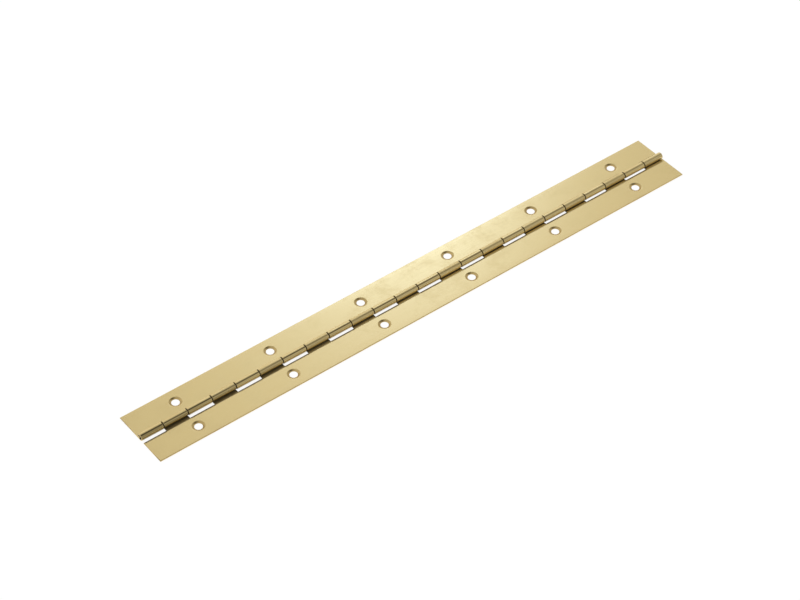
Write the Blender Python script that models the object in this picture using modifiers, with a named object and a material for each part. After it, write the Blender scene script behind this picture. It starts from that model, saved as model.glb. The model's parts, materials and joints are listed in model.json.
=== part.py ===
# Piano hinge: two notched leaves rolled from sheet brass round one long steel pin.
# Metres, +Z up, lying open and flat with the barrel and the countersinks on top.
# X runs along the pin. The back leaf lies on +Y and the front leaf on -Y.
# The origin is under the middle of the pin, on the plane that both leaves lie on.

import math

import bmesh
import bpy
from mathutils import Matrix

# The strip, as it is cut from a long length of hinge.
LENGTH = 0.3027
LEAF_REACH = 0.016  # pin axis to a leaf's outer edge
SHEET = 0.0007

# The knuckles, which belong to the two leaves by turns.
KNUCKLE_PITCH = 0.0127  # one knuckle and one slit
KNUCKLE_GAP = 0.0004  # the slit between neighbours
NOTCH_CLEARANCE = 0.00115  # from the other leaf's barrel to the edge of the notch round it
SEAM_GAP = 0.0006  # from the end of the curl to the inner face of its own leaf
LEAST_KNUCKLE = 0.001  # a shorter end piece is cut off
CURL_STEPS = 24

# The pin, which the back leaf holds.
PIN_DIAMETER = 0.002
PIN_CLEARANCE = 0.00005  # on the radius
PIN_RECESS = 0.0006  # how deep each end lies inside the barrel
PIN_CHAMFER = 0.0002
PIN_SIDES = 24

# The screw holes, in one row on each leaf and counted from the middle.
HOLE_PITCH = 0.0508
HOLE_REACH = 0.009  # pin axis to the row
HOLE_DIAMETER = 0.0038
HOLE_END_MARGIN = 0.008  # least distance from a hole's centre to the end of the strip
COUNTERSINK_ANGLE = math.radians(130)  # pressed wide and shallow in thin sheet
COUNTERSINK_LAND = 0.0002  # straight wall below the cone
CUTTER_OVERSHOOT = 0.0005  # how far a cutter stands out of the sheet on both sides
HOLE_SIDES = 32

BORE_RADIUS = PIN_DIAMETER / 2 + PIN_CLEARANCE
BARREL_RADIUS = BORE_RADIUS + SHEET
NOTCH_REACH = BARREL_RADIUS + NOTCH_CLEARANCE

SHARP_EDGE = math.radians(30)
BRASS = (0.66, 0.52, 0.25, 1.0)
STEEL = (0.30, 0.29, 0.27, 1.0)


def clear_scene():
    for obj in list(bpy.data.objects):
        bpy.data.objects.remove(obj, do_unlink=True)


def new_collection(name):
    collection = bpy.data.collections.new(name)
    bpy.context.scene.collection.children.link(collection)
    return collection


def new_object(name, collection, bm, parent):
    """Make an object from a finished bmesh, placed in its parent's frame."""
    mesh = bpy.data.meshes.new(name)
    bm.to_mesh(mesh)
    bm.free()
    obj = bpy.data.objects.new(name, mesh)
    obj.parent = parent
    collection.objects.link(obj)
    return obj


def metal(name, colour, roughness):
    material = bpy.data.materials.new(name)
    material.use_nodes = True
    shader = material.node_tree.nodes["Principled BSDF"]
    shader.inputs["Base Color"].default_value = colour
    shader.inputs["Roughness"].default_value = roughness
    shader.inputs["Metallic"].default_value = 1.0
    return material


def finish(obj, material):
    """Apply the modifiers, then shade the round faces smooth and keep the cut edges sharp."""
    bpy.context.view_layer.update()
    graph = bpy.context.evaluated_depsgraph_get()
    mesh = bpy.data.meshes.new_from_object(obj.evaluated_get(graph))
    obj.modifiers.clear()
    obj.data = mesh
    mesh.name = obj.name
    mesh.materials.clear()
    mesh.materials.append(material)
    mesh.shade_smooth()
    mesh.set_sharp_from_angle(angle=SHARP_EDGE)


def leaf_profile():
    """Outer face of a leaf as (y, z) from its edge to the end of the curl, round the pin axis.

    The facets of the curl touch the barrel's circle from outside, so the bore inside keeps its radius.
    """
    lip_height = BARREL_RADIUS - SHEET - SEAM_GAP
    wrap = 2 * math.pi - math.acos(lip_height / BARREL_RADIUS)
    step = wrap / (CURL_STEPS + 0.5)
    corner_radius = BARREL_RADIUS / math.cos(step / 2)
    points = [(LEAF_REACH, -BARREL_RADIUS), (NOTCH_REACH, -BARREL_RADIUS)]
    for i in range(CURL_STEPS + 1):
        angle = (i + 0.5) * step
        points.append((-corner_radius * math.sin(angle), -corner_radius * math.cos(angle)))
    return points


def leaf_knuckles():
    """Start and end along X of each knuckle of one leaf.

    The pattern starts at the middle, so half a turn about Z brings these knuckles into the slots between them.
    """
    end = LENGTH / 2
    count = math.ceil(end / KNUCKLE_PITCH)
    knuckles = []
    for i in range(-count, count):
        if i % 2 == 0:
            start = max(i * KNUCKLE_PITCH + KNUCKLE_GAP / 2, -end)
            stop = min((i + 1) * KNUCKLE_PITCH - KNUCKLE_GAP / 2, end)
            if stop - start > LEAST_KNUCKLE:
                knuckles.append((start, stop))
    return knuckles


def rolled_sheet(bm):
    """Draw the profile along X from cut to cut, then take out the notches."""
    knuckles = leaf_knuckles()
    cuts = {-LENGTH / 2, LENGTH / 2}
    for knuckle in knuckles:
        cuts.update(knuckle)
    cuts = sorted(cuts)
    row = [bm.verts.new((cuts[0], y, z)) for y, z in leaf_profile()]
    edges = [bm.edges.new(pair) for pair in zip(row, row[1:])]
    for here, there in zip(cuts, cuts[1:]):
        made = bmesh.ops.extrude_edge_only(bm, edges=edges)["geom"]
        verts = [item for item in made if isinstance(item, bmesh.types.BMVert)]
        bmesh.ops.translate(bm, verts=verts, vec=(there - here, 0, 0))
        moved = set(verts)
        edges = [item for item in made if isinstance(item, bmesh.types.BMEdge) and set(item.verts) <= moved]
    notches = []
    for face in bm.faces:
        centre = face.calc_center_median()
        in_knuckle = any(start < centre.x < stop for start, stop in knuckles)
        if centre.y < NOTCH_REACH and not in_knuckle:
            notches.append(face)
    bmesh.ops.delete(bm, geom=notches, context="FACES")


def screw_hole_cutter(name, collection, leaf):
    """A turned cutter for one countersunk hole, repeated along the leaf's row."""
    slope = math.tan(COUNTERSINK_ANGLE / 2)
    hole_radius = HOLE_DIAMETER / 2
    top = SHEET + CUTTER_OVERSHOOT
    rim_radius = hole_radius + (top - COUNTERSINK_LAND) * slope
    profile = [
        (0, top),
        (rim_radius, top),
        (hole_radius, COUNTERSINK_LAND),
        (hole_radius, -CUTTER_OVERSHOOT),
        (0, -CUTTER_OVERSHOOT),
    ]
    bm = bmesh.new()
    points = [bm.verts.new((x, 0, z)) for x, z in profile]
    for pair in zip(points, points[1:]):
        bm.edges.new(pair)
    cutter = new_object(name, collection, bm, leaf)

    turned = cutter.modifiers.new("turned", "SCREW")
    turned.steps = HOLE_SIDES
    turned.render_steps = HOLE_SIDES
    turned.use_merge_vertices = True
    turned.merge_threshold = 0.00001

    half_count = math.floor((LENGTH / 2 - HOLE_END_MARGIN) / HOLE_PITCH + 0.5)
    row = cutter.modifiers.new("row", "ARRAY")
    row.count = 2 * half_count
    row.use_relative_offset = False
    row.use_constant_offset = True
    row.constant_offset_displace = (HOLE_PITCH, 0, 0)

    cutter.location = ((0.5 - half_count) * HOLE_PITCH, HOLE_REACH, -BARREL_RADIUS)
    cutter.hide_render = True
    cutter.display_type = "WIRE"
    return cutter


def make_leaf(name, parts, cutters, axis, turn):
    """Roll one leaf. Its origin is on the pin axis, and turn sets which side it lies on."""
    bm = bmesh.new()
    rolled_sheet(bm)
    leaf = new_object(name, parts, bm, axis)
    leaf.rotation_euler.z = turn

    gauge = leaf.modifiers.new("gauge", "SOLIDIFY")
    gauge.thickness = SHEET
    gauge.offset = -1
    gauge.use_even_offset = True

    holes = leaf.modifiers.new("holes", "BOOLEAN")
    holes.operation = "DIFFERENCE"
    holes.object = screw_hole_cutter(name + "_holes", cutters, leaf)

    finish(leaf, metal(name + "_brass", BRASS, 0.3))
    return leaf


def make_pin(name, parts, axis):
    radius = PIN_DIAMETER / 2
    bm = bmesh.new()
    bmesh.ops.create_cone(
        bm,
        cap_ends=True,
        segments=PIN_SIDES,
        radius1=radius,
        radius2=radius,
        depth=LENGTH - 2 * PIN_RECESS,
        matrix=Matrix.Rotation(math.pi / 2, 4, "Y"),
    )
    pin = new_object(name, parts, bm, axis)

    ends = pin.modifiers.new("ends", "BEVEL")
    ends.width = PIN_CHAMFER
    ends.segments = 1
    ends.limit_method = "ANGLE"
    ends.angle_limit = math.radians(60)

    finish(pin, metal(name + "_steel", STEEL, 0.4))
    return pin


def main():
    clear_scene()
    parts = new_collection("piano_hinge")
    cutters = new_collection("piano_hinge_cutters")
    axis = bpy.data.objects.new("pin_axis", None)
    axis.location.z = BARREL_RADIUS
    parts.objects.link(axis)
    make_leaf("back_leaf", parts, cutters, axis, 0)
    make_leaf("front_leaf", parts, cutters, axis, math.pi)
    make_pin("hinge_pin", parts, axis)


main()
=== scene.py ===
import json
import math
import random

import bmesh
import bpy
from mathutils import Matrix, Vector


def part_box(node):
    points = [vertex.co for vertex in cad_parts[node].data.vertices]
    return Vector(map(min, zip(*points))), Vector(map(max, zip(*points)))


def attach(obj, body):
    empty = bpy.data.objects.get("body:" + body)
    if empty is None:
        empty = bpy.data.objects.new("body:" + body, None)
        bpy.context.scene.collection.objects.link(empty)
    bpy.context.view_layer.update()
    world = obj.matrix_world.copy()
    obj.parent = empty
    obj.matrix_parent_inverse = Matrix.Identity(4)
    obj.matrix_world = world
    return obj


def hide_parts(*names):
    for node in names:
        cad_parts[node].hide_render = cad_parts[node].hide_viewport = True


# Looks of a piano hinge: two rolled brass leaves on one drawn steel pin.
# Leaves and pin are shaped in millimetres and scaled at the end. All else is in metres.

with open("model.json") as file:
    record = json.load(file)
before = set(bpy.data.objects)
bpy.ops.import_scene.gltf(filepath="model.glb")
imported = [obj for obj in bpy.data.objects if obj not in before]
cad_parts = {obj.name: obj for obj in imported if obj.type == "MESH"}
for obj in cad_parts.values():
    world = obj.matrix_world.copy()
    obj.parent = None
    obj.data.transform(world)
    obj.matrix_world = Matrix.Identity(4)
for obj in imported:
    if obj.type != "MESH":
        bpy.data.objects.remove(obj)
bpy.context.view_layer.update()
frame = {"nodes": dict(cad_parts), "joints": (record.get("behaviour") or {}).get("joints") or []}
mm = 0.001
axisHeight = frame["joints"][0]["pos_m"][2]  # of the pin, above the floor
print("frame loaded:", ", ".join(sorted(frame["nodes"])))


class Wire:
    # one shader socket, so that node sums read as plain expressions
    def __init__(self, tree, socket=None):
        self.tree = tree
        self.socket = socket

    def node(self, kind, settings, sockets, out=0):
        made = self.tree.nodes.new(kind)
        for name, value in settings.items():
            setattr(made, name, value)
        for name, value in sockets.items():
            if isinstance(value, Wire):
                self.tree.links.new(value.socket, made.inputs[name])
            else:
                made.inputs[name].default_value = value
        return Wire(self.tree, made.outputs[out])

    def feed(self, shader, name):
        self.tree.links.new(self.socket, shader.inputs[name])

    def sums(self, operation, first, second):
        return self.node("ShaderNodeMath", {"operation": operation}, {0: first, 1: second})

    def __add__(self, other):
        return self.sums("ADD", self, other)

    def __radd__(self, other):
        return self.sums("ADD", other, self)

    def __sub__(self, other):
        return self.sums("SUBTRACT", self, other)

    def __rsub__(self, other):
        return self.sums("SUBTRACT", other, self)

    def __mul__(self, other):
        return self.sums("MULTIPLY", self, other)

    def __rmul__(self, other):
        return self.sums("MULTIPLY", other, self)

    def __gt__(self, other):
        return self.sums("GREATER_THAN", self, other)

    def __lt__(self, other):
        return self.sums("LESS_THAN", self, other)


def newMaterial(name):
    material = bpy.data.materials.new(name)
    material.use_nodes = True
    tree = material.node_tree
    return material, Wire(tree), tree.nodes["Principled BSDF"]


def single(operation, value):  # maths on one value
    return value.node("ShaderNodeMath", {"operation": operation}, {0: value})


def axes(place):
    return [place.node("ShaderNodeSeparateXYZ", {}, {0: place}, out=axis) for axis in "XYZ"]


def noise(place, scale, detail, stretch=(1, 1, 1)):
    moved = place.node("ShaderNodeVectorMath", {"operation": "MULTIPLY"}, {0: place, 1: stretch})
    sockets = {"Vector": moved, "Scale": scale, "Detail": detail}
    return moved.node("ShaderNodeTexNoise", {}, sockets)


def ease(value, low, high):  # 0 below low, 1 above high, soft between
    sockets = {"Value": value, "From Min": low, "From Max": high}
    return value.node("ShaderNodeMapRange", {"interpolation_type": "SMOOTHSTEP"}, sockets)


def tint(mask, plain, marked):  # one colour where the mask is 0, the other where it is 1
    plainColour = plain if isinstance(plain, Wire) else (*plain, 1)
    markedColour = marked if isinstance(marked, Wire) else (*marked, 1)
    sockets = {0: mask, 6: plainColour, 7: markedColour}
    return mask.node("ShaderNodeMix", {"data_type": "RGBA"}, sockets, out=2)


# Brass: one pattern, and a look for each of its three finishes.
brassPattern = {
    "grain": (1.0, 3, (45, 2600, 2600)),  # rolling lines along the strip
    "cloud": (70, 2),
    "haze": (650, 3),
    "spotScale": 230,
    "spotEdge": (0.03, 0.07),
    "spotPick": 0.93,  # the spots above this show
    "cloudShare": 0.7,  # in the dull patches
    "hazeShare": 0.3,
    "dullFrom": (0.42, 0.66),
    "dullMost": 0.7,
    "speckMost": 0.7,
    "shadeLeast": 0.7,
    "shadeHaze": 0.4,
    "dullRough": 0.07,
    "grainRough": 0.1,
    "speckRough": 0.2,
    "shadeRough": 0.2,
    "grainHeight": 0.8,
    "hazeHeight": 0.2,
}
rolledBrassLook = {
    "colour": (0.89, 0.702, 0.331),
    "dull": (0.84, 0.648, 0.288),  # where handling has taken the shine off
    "speck": (0.42, 0.31, 0.13),
    "roughness": 0.14,
    "shadeHeight": (0.0010, 0.0018),  # painted shade, only low down, in the corner under the barrel
    "shadeThinned": 0.72,  # how much of the painted shade goes where it thins out, towards the right
    "grainDepth": 0.000012,
    "grainStrength": 0.25,
}
shearedBrassLook = {
    "colour": (0.74, 0.56, 0.25),
    "dull": (0.58, 0.39, 0.15),
    "speck": (0.35, 0.24, 0.10),
    "roughness": 0.34,
    "shadeHeight": (0.0040, 0.0050),  # painted shade and a painted reflection of the barrel's dark underside, over the whole wall of a slit or a notch
    "shadeThinned": 0,
    "grainDepth": 0.00002,
    "grainStrength": 0.5,
}
sunkBrassLook = {
    "colour": (0.68, 0.50, 0.21),
    "dull": (0.54, 0.38, 0.15),
    "speck": (0.30, 0.21, 0.09),
    "roughness": 0.26,
    "shadeHeight": (0.0010, 0.0018),
    "shadeThinned": 0,
    "grainDepth": 0.00001,
    "grainStrength": 0.3,
}
jointShadePlan = {  # painted shade along the joint, under the barrel and on the slit and notch walls, fading between two distances
    "colour": (0.21, 0.15, 0.06),
    "middle": -0.0002,  # a little more of it lies in front of the pin axis
    "across": (0.0030, 0.0034),
    "along": (0.1506, 0.1510),  # from the middle, so that the cut ends are not darkened
    "shadeThinned": (-0.11, 0.03),  # along the strip, where the painted shade thins out under the knuckles, towards the right
    "pair": 0.0254,  # one knuckle of each leaf
    "notchLean": 0.00165,  # it follows the row of notches, in metres for each metre
    "matt": 0.38,  # how much of the metal's shine it takes
    "bore": (0.03, 0.025, 0.015),  # painted shade in the bore round the pin
    "boreRadius": 0.0012,
}
knuckleShadeAndRubPlan = {  # painted shade on the barrel, darkest towards the left end
    "colour": (0.36, 0.27, 0.11),
    "barrel": 0.0011,  # the height where the barrel starts
    "backAlong": (-0.155, -0.085),  # along the strip, where it fades from a back knuckle
    "backAcross": (-0.0006, 0.0),  # and gone from its far side
    "frontAlong": (-0.15, 0.0),
    "rightAlong": (0.01, 0.15),  # where it comes back on the front knuckles
    "frontAcross": (-0.0016, -0.0010),  # low on the near side of a front knuckle
    "backMost": 0.6,
    "frontMost": 0.85,
    "rightMost": 0.45,
    "rubAlong": (-0.135, -0.085),  # where hands have begun to rub the front knuckles dull
    "rubRough": 0.15,
}


# Painted shade: darker in the corner under the barrel, and on the slit and notch walls a painted
# reflection of the barrel's dark underside.
def jointShadeMask(place, look):
    x, y, z = axes(place)
    along = x * single("SIGN", y)  # as the stamping lay
    column = single("FRACT", along * (-1 / jointShadePlan["pair"]))  # over a half under own knuckles
    lean = (column < 0.5) * along * jointShadePlan["notchLean"]
    across = single("ABSOLUTE", y - jointShadePlan["middle"]) - lean
    fromMiddle = single("ABSOLUTE", x)
    inside = (1 - ease(across, *jointShadePlan["across"])) * (1 - ease(fromMiddle, *jointShadePlan["along"]))
    shadeThinned = ease(x, *jointShadePlan["shadeThinned"]) * (column > 0.5) * look["shadeThinned"]
    return inside * (1 - ease(z, *look["shadeHeight"])) * (1 - shadeThinned)


# Painted shade inside the bore, round the pin.
def boreShade(place):
    y, z = axes(place)[1:]
    up = z - axisHeight
    return y * y + up * up < jointShadePlan["boreRadius"] ** 2


def knuckleShadeAndRub(place):  # how dark the painted shade is, and how much rougher the rubbed knuckles are
    x, y, z = axes(place)
    column = single("FRACT", x * (1 / jointShadePlan["pair"]))  # over a half on the front leaf's
    barrel = z > knuckleShadeAndRubPlan["barrel"]
    front = (column > 0.5) * barrel
    back = (column < 0.5) * barrel
    onBack = back * (1 - ease(x, *knuckleShadeAndRubPlan["backAlong"])) * knuckleShadeAndRubPlan["backMost"]
    onBack = onBack * (1 - ease(y, *knuckleShadeAndRubPlan["backAcross"]))
    onLeft = (1 - ease(x, *knuckleShadeAndRubPlan["frontAlong"])) * knuckleShadeAndRubPlan["frontMost"]
    onRight = ease(x, *knuckleShadeAndRubPlan["rightAlong"]) * knuckleShadeAndRubPlan["rightMost"]
    onFront = front * (onLeft + onRight) * (1 - ease(y, *knuckleShadeAndRubPlan["frontAcross"]))
    rub = front * ease(x, *knuckleShadeAndRubPlan["rubAlong"]) * knuckleShadeAndRubPlan["rubRough"]
    return onBack + onFront, rub


def makeBrass(name, look):
    pattern = brassPattern
    material, wire, shader = newMaterial(name)
    place = wire.node("ShaderNodeTexCoord", {}, {}, out="Object")
    grain = noise(place, *pattern["grain"])
    cloud = noise(place, *pattern["cloud"])
    haze = noise(place, *pattern["haze"])
    spots = {"Vector": place, "Scale": pattern["spotScale"], "Randomness": 1.0}
    spotSize = wire.node("ShaderNodeTexVoronoi", {}, spots, out="Distance")
    spotColour = wire.node("ShaderNodeTexVoronoi", {}, spots, out="Color")
    pick = wire.node("ShaderNodeSeparateColor", {}, {0: spotColour})
    speck = (1 - ease(spotSize, *pattern["spotEdge"])) * (pick > pattern["spotPick"])
    patches = cloud * pattern["cloudShare"] + haze * pattern["hazeShare"]
    dulled = ease(patches, *pattern["dullFrom"])
    knuckleShade, rub = knuckleShadeAndRub(place)
    jointShade = jointShadeMask(place, look) * (haze * pattern["shadeHaze"] + pattern["shadeLeast"])

    colour = tint(dulled * pattern["dullMost"], look["colour"], look["dull"])
    colour = tint(speck * pattern["speckMost"], colour, look["speck"])
    # painted shade on the near side of the knuckles
    colour = tint(knuckleShade, colour, knuckleShadeAndRubPlan["colour"])
    # painted shade along the joint, under the barrel and on the slit and notch walls
    colour = tint(jointShade, colour, jointShadePlan["colour"])
    # painted shade in the bore round the pin
    tint(boreShade(place), colour, jointShadePlan["bore"]).feed(shader, "Base Color")

    rough = look["roughness"] + dulled * pattern["dullRough"]
    rough = rough + (grain - 0.5) * pattern["grainRough"]
    rough = rough + speck * pattern["speckRough"] + jointShade * pattern["shadeRough"]
    (rough + rub).feed(shader, "Roughness")
    (1 - jointShade * jointShadePlan["matt"]).feed(shader, "Metallic")

    height = grain * pattern["grainHeight"] + haze * pattern["hazeHeight"]
    bump = {"Height": height, "Strength": look["grainStrength"], "Distance": look["grainDepth"]}
    wire.node("ShaderNodeBump", {}, bump).feed(shader, "Normal")
    return material


drawnSteelLook = {
    "colour": (0.12, 0.115, 0.10),
    "oiled": (0.04, 0.036, 0.03),
    "oil": (420, 3),
    "oilFrom": (0.40, 0.64),
    "oilSmooth": 0.08,
    "endShade": (0.012, 0.011, 0.010),  # painted shade on the ends, set back in the bore
    "endShadeFrom": (0.1502, 0.1505),  # from the middle
    "roughness": 0.36,
    "lines": (1.0, 3, (60, 5200, 5200)),  # die lines along the wire
    "lineRough": 0.14,
    "lineDepth": 0.00002,
    "lineStrength": 0.4,
}


def makeSteel(name, look):
    material, wire, shader = newMaterial(name)
    place = wire.node("ShaderNodeTexCoord", {}, {}, out="Object")
    lines = noise(place, *look["lines"])
    oil = ease(noise(place, *look["oil"]), *look["oilFrom"])
    # painted shade on the pin's ends, set back in the bore
    endShade = ease(single("ABSOLUTE", axes(place)[0]), *look["endShadeFrom"])
    colour = tint(oil, look["colour"], look["oiled"])
    tint(endShade, colour, look["endShade"]).feed(shader, "Base Color")
    rough = look["roughness"] + lines * look["lineRough"] - oil * look["oilSmooth"]
    rough.feed(shader, "Roughness")
    bump = {"Height": lines, "Strength": look["lineStrength"], "Distance": look["lineDepth"]}
    wire.node("ShaderNodeBump", {}, bump).feed(shader, "Normal")
    shader.inputs["Metallic"].default_value = 1
    return material


rolledBrass = makeBrass("rolledBrass", rolledBrassLook)
shearedBrass = makeBrass("shearedBrass", shearedBrassLook)
sunkBrass = makeBrass("sunkBrass", sunkBrassLook)
drawnSteel = makeSteel("drawnSteel", drawnSteelLook)
print("materials made: brass in three finishes, drawn steel")


def placeMesh(name, bm):
    mesh = bpy.data.meshes.new(name)
    bm.to_mesh(mesh)
    bm.free()
    made = bpy.data.objects.new(name, mesh)
    bpy.context.scene.collection.objects.link(made)
    return made


# Leaves, each stamped as a flat comb and then rolled.
leafLow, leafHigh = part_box("back_leaf")
leafPlan = {
    "length": (leafHigh.x - leafLow.x) / mm,
    "reach": leafHigh.y / mm,  # pin axis to the outer edge
    "barrelRadius": axisHeight / mm,
    "sheet": 0.7,
    "knucklePitch": 12.7,
    "slit": 0.4,
    "notchReach": 2.58,  # pin axis to the bottom of a notch
    "notchLean": 0.25,  # how far the row of notches runs out of line with the pin at the ends
    "seamGap": 0.6,
    "seamSpread": 0.008,  # how unevenly the curls close, as a share
    "seamLean": (-0.02, 0.03),  # how much more they close at the left end and at the right
    "edgeRound": 0.22,
    "edgeSteps": 3,
    "edgeTilt": 0.7,  # a face that is steeper than this belongs to a sheared edge
    "tabTilt": 0.93,  # the same, on the tabs
    "curlSteps": 72,
    "holePitch": 50.8,
    "holeReach": 9.0,
    "holeRadius": 1.9,
    "holeSides": 72,
    "holeCount": 6,
    "holeWall": 1.2,  # what lies within this many radii belongs to the hole
    "sinkLand": 0.2,  # straight wall under the countersink
    "sinkSlope": 2.14,  # 130 degrees in all
    "weld": 0.0005,
    "scoreSnap": 0.0001,
    "flatWithin": 0.5,  # degrees
    "flatWeight": 100,
}


def knuckleBands(plan):
    end = plan["length"] / 2
    count = math.ceil(end / plan["knucklePitch"])
    bands = []
    for i in range(-count, count, 2):
        start = i * plan["knucklePitch"] + plan["slit"] / 2
        stop = (i + 1) * plan["knucklePitch"] - plan["slit"] / 2
        bands.append((max(start, -end), min(stop, end)))
    return bands


def curlAngle(plan):  # how far the tab goes round before it meets its own leaf
    lipHeight = plan["barrelRadius"] - plan["sheet"] - plan["seamGap"]
    return 2 * math.pi - math.acos(lipHeight / plan["barrelRadius"])


def notchBottom(x, plan):
    return plan["notchReach"] + plan["notchLean"] * x / (plan["length"] / 2)


def combOutline(plan):
    end = plan["length"] / 2
    tip = -curlAngle(plan) * plan["barrelRadius"]
    points = [(-end, plan["reach"])]
    for start, stop in knuckleBands(plan):
        if start > -end:
            points.append((start, notchBottom(start, plan)))
        points += [(start, tip), (stop, tip), (stop, notchBottom(stop, plan))]
    return points + [(end, notchBottom(end, plan)), (end, plan["reach"])]


def holeCentres(plan):
    first = (1 - plan["holeCount"]) / 2
    along = [(first + i) * plan["holePitch"] for i in range(plan["holeCount"])]
    return [(x, plan["holeReach"]) for x in along]


def holeOutline(centre, plan):
    turns = [2 * math.pi * i / plan["holeSides"] for i in range(plan["holeSides"])]
    radius = plan["holeRadius"]
    return [(centre[0] + radius * math.cos(a), centre[1] + radius * math.sin(a)) for a in turns]


def stampBlank(plan):  # a flat plate with rounded edges, lying on z = 0
    curve = bpy.data.curves.new("blank", "CURVE")
    curve.dimensions = "2D"
    curve.fill_mode = "BOTH"
    curve.extrude = plan["sheet"] / 2 - plan["edgeRound"]
    curve.bevel_depth = plan["edgeRound"]
    curve.bevel_resolution = plan["edgeSteps"]
    curve.offset = -plan["edgeRound"]
    for outline in [combOutline(plan)] + [holeOutline(c, plan) for c in holeCentres(plan)]:
        spline = curve.splines.new("POLY")
        spline.points.add(len(outline) - 1)
        for point, (x, y) in zip(spline.points, outline):
            point.co = (x, y, 0, 1)
        spline.use_cyclic_u = True
    blank = bpy.data.objects.new("blank", curve)
    bpy.context.scene.collection.objects.link(blank)
    bpy.context.view_layer.update()
    shown = blank.evaluated_get(bpy.context.evaluated_depsgraph_get())
    flat = bpy.data.meshes.new_from_object(shown)
    bm = bmesh.new()
    bm.from_mesh(flat)
    bpy.data.objects.remove(blank)
    bpy.data.curves.remove(curve)
    bpy.data.meshes.remove(flat)
    bmesh.ops.remove_doubles(bm, verts=bm.verts, dist=plan["weld"])
    bmesh.ops.translate(bm, verts=bm.verts, vec=(0, 0, plan["sheet"] / 2))
    return bm


def scoreLine(bm, spot, across, snap):  # an extra row of points, where the sheet will bend
    geometry = bm.verts[:] + bm.edges[:] + bm.faces[:]
    bmesh.ops.bisect_plane(bm, geom=geometry, dist=snap, plane_co=spot, plane_no=across)


def nearestHole(spot, plan):
    centres = holeCentres(plan)
    distances = [math.hypot(spot.x - x, spot.y - y) for x, y in centres]
    closest = min(range(len(centres)), key=distances.__getitem__)
    return centres[closest], distances[closest]


def markFinishes(bm, plan):  # 0 rolled face, 1 sheared edge, 2 countersink
    bm.normal_update()
    tabsEnd = plan["notchReach"] + plan["notchLean"] + plan["edgeRound"]
    for face in bm.faces:
        middle = face.calc_center_median()
        if abs(face.normal.z) < plan["tabTilt" if middle.y < tabsEnd else "edgeTilt"]:
            distance = nearestHole(middle, plan)[1]
            face.material_index = 2 if distance < plan["holeRadius"] * plan["holeWall"] else 1


def sinkHoles(bm, plan):
    for vert in bm.verts:
        centre, distance = nearestHole(vert.co, plan)
        rise = vert.co.z - plan["sinkLand"]
        if distance < plan["holeRadius"] * plan["holeWall"] and rise > 0:
            wider = 1 + rise * plan["sinkSlope"] / distance
            vert.co.x = centre[0] + (vert.co.x - centre[0]) * wider
            vert.co.y = centre[1] + (vert.co.y - centre[1]) * wider


def seamClosing(plan, turn, seed):  # how far each tab is rolled, as a share of a full curl
    draw = random.Random(seed)
    count = math.ceil(plan["length"] / 2 / plan["knucklePitch"])
    atLeft, atRight = plan["seamLean"]
    closing = {}
    for i in range(-count, count):
        toRight = 0.5 + (i + 0.5) / count / 2 * math.cos(turn)
        lean = atLeft * (1 - toRight) + atRight * toRight
        closing[i] = 1 + draw.uniform(-1, 1) * plan["seamSpread"] + lean
    return closing


def rollTabs(bm, plan, closing):  # what lies past the pin axis goes under it and round
    radius = plan["barrelRadius"]
    for vert in bm.verts:
        if vert.co.y < 0:
            knuckle = math.floor(vert.co.x / plan["knucklePitch"])
            angle = -vert.co.y / radius * closing[knuckle]
            inset = radius - vert.co.z
            vert.co.y = -inset * math.sin(angle)
            vert.co.z = radius - inset * math.cos(angle)


def makeLeaf(name, node, turn, seed):
    plan = leafPlan
    closing = seamClosing(plan, turn, seed)
    bm = stampBlank(plan)
    curl = curlAngle(plan) * plan["barrelRadius"]
    for i in range(plan["curlSteps"]):
        scoreLine(bm, (0, -curl * i / plan["curlSteps"], 0), (0, 1, 0), plan["scoreSnap"])
    scoreLine(bm, (0, 0, plan["sinkLand"]), (0, 0, 1), plan["scoreSnap"])
    markFinishes(bm, plan)
    sinkHoles(bm, plan)
    rollTabs(bm, plan, closing)
    flat = {"angle_limit": math.radians(plan["flatWithin"]), "delimit": {"MATERIAL"}}
    bmesh.ops.dissolve_limit(bm, verts=bm.verts, edges=bm.edges, **flat)
    turned = Matrix.Rotation(turn, 4, "Z") @ Matrix.Scale(mm, 4)
    bmesh.ops.transform(bm, verts=bm.verts, matrix=turned)
    bmesh.ops.recalc_face_normals(bm, faces=bm.faces)
    leaf = placeMesh(name, bm)
    for finish in (rolledBrass, shearedBrass, sunkBrass):
        leaf.data.materials.append(finish)
    leaf.data.shade_smooth()
    even = leaf.modifiers.new("evenShading", "WEIGHTED_NORMAL")
    even.weight = plan["flatWeight"]  # flat faces stay flat beside round edges
    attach(leaf, node)
    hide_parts(node)
    return leaf


backLeaf = makeLeaf("backLeaf", "back_leaf", turn=0, seed=3)
frontLeaf = makeLeaf("frontLeaf", "front_leaf", turn=math.pi, seed=8)
print("leaves rolled:", len(backLeaf.data.polygons), "and", len(frontLeaf.data.polygons), "faces")


# Pin, a length of drawn wire with cropped ends.
pinLow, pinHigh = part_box("hinge_pin")
pinPlan = {
    "halfLength": (pinHigh.x - pinLow.x) / 2 / mm,
    "radius": (pinHigh.z - pinLow.z) / 2 / mm,
    "axisHeight": axisHeight / mm,
    "endRound": 0.25,
    "endDish": 0.06,  # how far the middle of a cropped end lies back
    "dishDepth": 0.4,  # how much of that is left part of the way out
    "dishReach": 0.6,  # and how far out that is
    "roundSteps": 5,
    "sides": 48,
}


def pinProfile(plan):  # one half, from the middle of the end to the side of the wire
    half, flat, roundness = plan["halfLength"], plan["radius"] - plan["endRound"], plan["endRound"]
    points = [(half - plan["endDish"], 0)]
    points.append((half - plan["endDish"] * plan["dishDepth"], flat * plan["dishReach"]))
    for i in range(plan["roundSteps"] + 1):
        a = math.pi / 2 * i / plan["roundSteps"]
        points.append((half - roundness + roundness * math.cos(a), flat + roundness * math.sin(a)))
    return points


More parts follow.
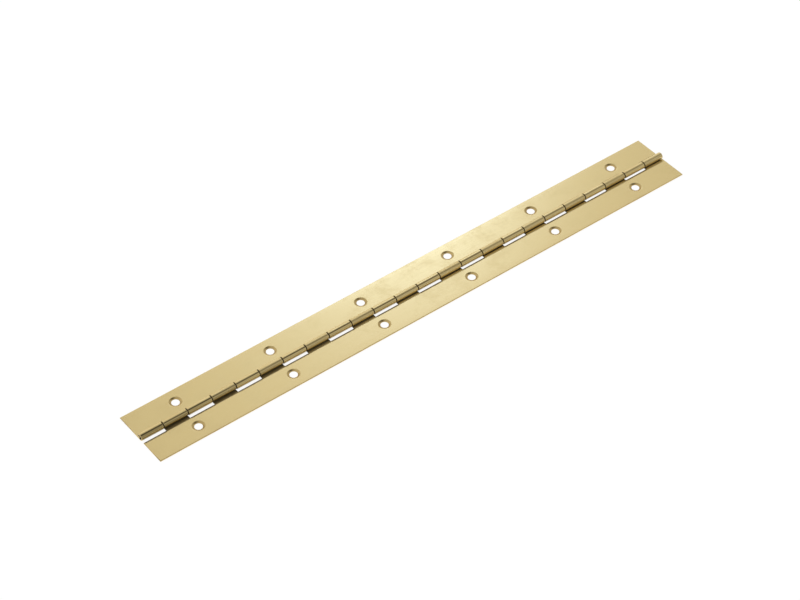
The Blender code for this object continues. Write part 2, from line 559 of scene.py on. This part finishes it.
def makePin(name):
    plan = pinPlan
    half = pinProfile(plan)
    outline = half + [(-x, r) for x, r in reversed(half)]
    bm = bmesh.new()
    rings = []
    for x, r in outline:
        turns = [2 * math.pi * i / plan["sides"] for i in range(plan["sides"] if r > 0 else 1)]
        rings.append([bm.verts.new((x, -r * math.sin(a), r * math.cos(a))) for a in turns])
    for here, there in zip(rings, rings[1:]):
        for i in range(plan["sides"]):
            order = ((here, i), (here, i + 1), (there, i + 1), (there, i))
            corners = [ring[j % len(ring)] for ring, j in order]
            bm.faces.new(list(dict.fromkeys(corners)))  # three corners at the middle of an end
    bmesh.ops.translate(bm, verts=bm.verts, vec=(0, 0, plan["axisHeight"]))
    bmesh.ops.scale(bm, verts=bm.verts, vec=(mm, mm, mm))
    bmesh.ops.recalc_face_normals(bm, faces=bm.faces)
    pin = placeMesh(name, bm)
    pin.data.materials.append(drawnSteel)
    pin.data.shade_smooth()
    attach(pin, "back_leaf")
    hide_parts("hinge_pin")
    return pin


hingePin = makePin("hingePin")
print("pin turned:", len(hingePin.data.polygons), "faces")


floorPlan = {
    "size": 6.0,
    "drop": 0.00002,  # just under the leaves
    "colour": (0.18, 0.18, 0.18),
    "glow": 0.912,  # what brings the open floor up to white
}
studioPlan = {
    "fill": (0.34, 0.34, 0.34),
    "white": (1, 1, 1),
    "cards": [  # soft cards: direction, where they start to fade and end in degrees, strength
        {"toward": (0.43, 0.57, 0.70), "inner": 8, "outer": 29, "strength": 0.255},
        {"toward": (0.44, 0.57, 0.69), "inner": 0, "outer": 12, "strength": 0.14},
        {"toward": (0.458, 0.621, 0.636), "inner": 0, "outer": 5.5, "strength": 1.4,
         "tint": (0.72, 1, 1.75)},
        {"toward": (0.46, 0.86, 0.20), "inner": 9, "outer": 31, "strength": 0.40},
        {"toward": (0.56, -0.63, 0.54), "inner": 5, "outer": 24, "strength": 0.17},
        {"toward": (-0.42, 0.57, 0.70), "inner": 8, "outer": 32, "strength": 0.10},
        {"toward": (-0.75, 0.0, 0.66), "inner": 25, "outer": 75, "strength": 0.32},
        {"toward": (-0.30, -0.90, 0.30), "inner": 15, "outer": 38, "strength": 0.30},
        {"toward": (0.82, -0.55, 0.18), "inner": 6, "outer": 24, "strength": 0.35},
        {"toward": (0.97, 0.0, 0.24), "inner": 20, "outer": 42, "strength": 0.28},
        {"toward": (-0.15, 0.85, 0.50), "inner": 8, "outer": 28, "strength": 0.28},
        {"toward": (0.25, -0.20, 0.947), "inner": 5, "outer": 23, "strength": -0.33},  # a dark one
    ],
}


def seenRays(wire):  # 1 for what the camera sees, straight or in the metal
    kinds = ("Is Camera Ray", "Is Glossy Ray", "Is Transmission Ray")
    camera, glossy, through = [wire.node("ShaderNodeLightPath", {}, {}, out=kind) for kind in kinds]
    return camera.sums("MAXIMUM", camera, glossy.sums("MAXIMUM", glossy, through))


def makeFloor(plan):
    bm = bmesh.new()
    bmesh.ops.create_grid(bm, x_segments=1, y_segments=1, size=plan["size"] / 2)
    floor = placeMesh("floor", bm)
    floor.location.z = -plan["drop"]
    material, wire, shader = newMaterial("floorWhite")
    shader.inputs["Base Color"].default_value = (*plan["colour"], 1)
    shader.inputs["Roughness"].default_value = 1
    shader.inputs["Specular IOR Level"].default_value = 0
    plain = Wire(wire.tree, shader.outputs[0])
    white = {"Color": (1, 1, 1, 1), "Strength": plan["glow"]}
    glow = wire.node("ShaderNodeEmission", {}, white)
    lit = wire.node("ShaderNodeAddShader", {}, {0: plain, 1: glow})
    shown = wire.node("ShaderNodeMixShader", {}, {0: seenRays(wire), 1: plain, 2: lit})
    shown.feed(wire.tree.nodes["Material Output"], "Surface")
    floor.data.materials.append(material)
    return floor


def makeSky(plan):
    world = bpy.data.worlds.new("studio")
    world.use_nodes = True
    bpy.context.scene.world = world
    tree = world.node_tree
    wire = Wire(tree)
    toward = wire.node("ShaderNodeTexCoord", {}, {}, out="Generated")
    light = plan["fill"]
    for card in plan["cards"]:
        aim = {0: toward, 1: Vector(card["toward"]).normalized()}
        dot = {"operation": "DOT_PRODUCT"}
        facing = wire.node("ShaderNodeVectorMath", dot, aim, out="Value")
        inner, outer = [math.cos(math.radians(card[edge])) for edge in ("inner", "outer")]
        soft = ease(facing, outer, inner)
        glow = {0: card.get("tint", plan["white"]), "Scale": soft * card["strength"]}
        part = wire.node("ShaderNodeVectorMath", {"operation": "SCALE"}, glow)
        light = wire.node("ShaderNodeVectorMath", {"operation": "ADD"}, {0: light, 1: part})
    light.feed(tree.nodes["Background"], "Color")


makeFloor(floorPlan)
makeSky(studioPlan)
print("studio set: floor and", len(studioPlan["cards"]), "cards")


cameraPlan = {
    "target": (-0.01037, -0.00098, 0.0007),
    "distance": 1.04065,
    "bearing": 52.395,  # degrees from +X that the camera looks along
    "height": 44.330,  # degrees that it looks down
    "roll": -0.194,
    "lens": 102.29,
    "sensor": 36.0,
}


def makeCamera(plan):
    data = bpy.data.cameras.new("camera")
    data.lens = plan["lens"]
    data.sensor_width = plan["sensor"]
    camera = bpy.data.objects.new("camera", data)
    bearing, height = math.radians(plan["bearing"]), math.radians(plan["height"])
    level = math.cos(height)
    look = Vector((math.cos(bearing) * level, math.sin(bearing) * level, -math.sin(height)))
    turn = look.to_track_quat("-Z", "Y").to_matrix().to_4x4()
    place = Matrix.Translation(Vector(plan["target"]) - look * plan["distance"])
    camera.matrix_world = place @ turn @ Matrix.Rotation(math.radians(plan["roll"]), 4, "Z")
    bpy.context.scene.collection.objects.link(camera)
    bpy.context.scene.camera = camera


makeCamera(cameraPlan)
bpy.context.scene.view_settings.view_transform = "Standard"
print("camera placed")
